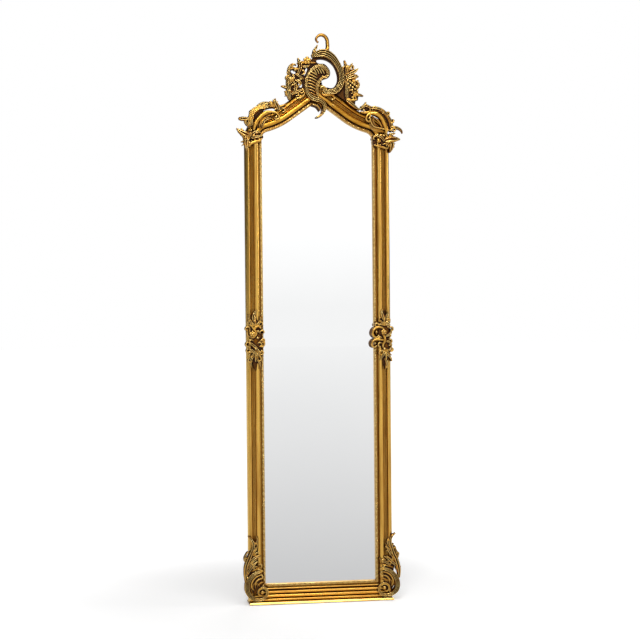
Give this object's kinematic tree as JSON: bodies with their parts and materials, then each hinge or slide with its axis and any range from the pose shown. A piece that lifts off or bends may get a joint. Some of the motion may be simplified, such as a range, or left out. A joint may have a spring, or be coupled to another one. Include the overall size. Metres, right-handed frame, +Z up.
{
  "type": "floor mirror",
  "caption": "Tall narrow full-length mirror in a gilded moulded frame with an arched top, a pierced scroll crest and carved scrolls at the shoulders, sides and feet.",
  "frame": {"origin": "on the floor, under the middle of the foot", "axes": "+Z up, front faces -Y, +X to the right seen from the front"},
  "size_m": [0.5325, 0.08, 1.7995],
  "materials": {
    "gilded_wood": "water gilded, burnished, dark wax in the hollows",
    "gilded_strip": "gilded carved strip, toned dark",
    "gilded_carving": "gilded carving, rubbed highlights, dark wax in the hollows",
    "mirror_glass": "polished, silvered back",
    "backing_board": "raw fibreboard",
    "setting_block": "matte",
    "steel": "zinc plated",
    "felt": "dark felt",
    "hanger_brass": "plain, slightly dulled",
    "dowel_wood": "plain beech"
  },
  "bodies": {
    "mirror": {"right_stile": "gilded_wood", "left_stile": "gilded_wood", "bottom_rail": "gilded_wood", "right_top_rail": "gilded_wood", "left_top_rail": "gilded_wood", "base_plinth": "gilded_wood", "right_sight_strip": "gilded_strip", "left_sight_strip": "gilded_strip", "bottom_sight_strip": "gilded_strip", "right_top_sight_strip": "gilded_strip", "left_top_sight_strip": "gilded_strip", "mirror_glass": "mirror_glass", "backing_board": "backing_board", "setting_blocks": "setting_block", "retaining_clips": "steel", "clip_screws": "steel", "plate_screws": "steel", "plinth_screws": "steel", "strap_screws": "steel", "corner_plates": "steel", "mending_plates": "steel", "felt_pads": "felt", "left_hanger_strap": "hanger_brass", "right_hanger_strap": "hanger_brass", "crest_board": "gilded_carving", "crest_dowels": "dowel_wood", "crest_plume": "gilded_carving", "crest_scroll": "gilded_carving", "flower_spray": "gilded_carving", "floral_drop": "gilded_carving", "left_shoulder_scroll": "gilded_carving", "right_shoulder_scroll": "gilded_carving", "left_clasp": "gilded_carving", "right_clasp": "gilded_carving", "left_foot_scroll": "gilded_carving", "right_foot_scroll": "gilded_carving", "left_middle_ornament": "gilded_carving", "right_middle_ornament": "gilded_carving"},
    "left_ring": {"left_hanger_ring": "hanger_brass"},
    "right_ring": {"right_hanger_ring": "hanger_brass"}
  },
  "joints": [
    {"name": "left_ring_swing", "type": "hinge", "parent": "mirror", "child": "left_ring", "pos_m": [-0.208, 0.0154, 1.24], "axis": [1, 0, 0], "range_deg": [0, 178]},
    {"name": "right_ring_swing", "type": "hinge", "parent": "mirror", "child": "right_ring", "pos_m": [0.208, 0.0154, 1.24], "axis": [1, 0, 0], "range_deg": [0, 178]}
  ]
}
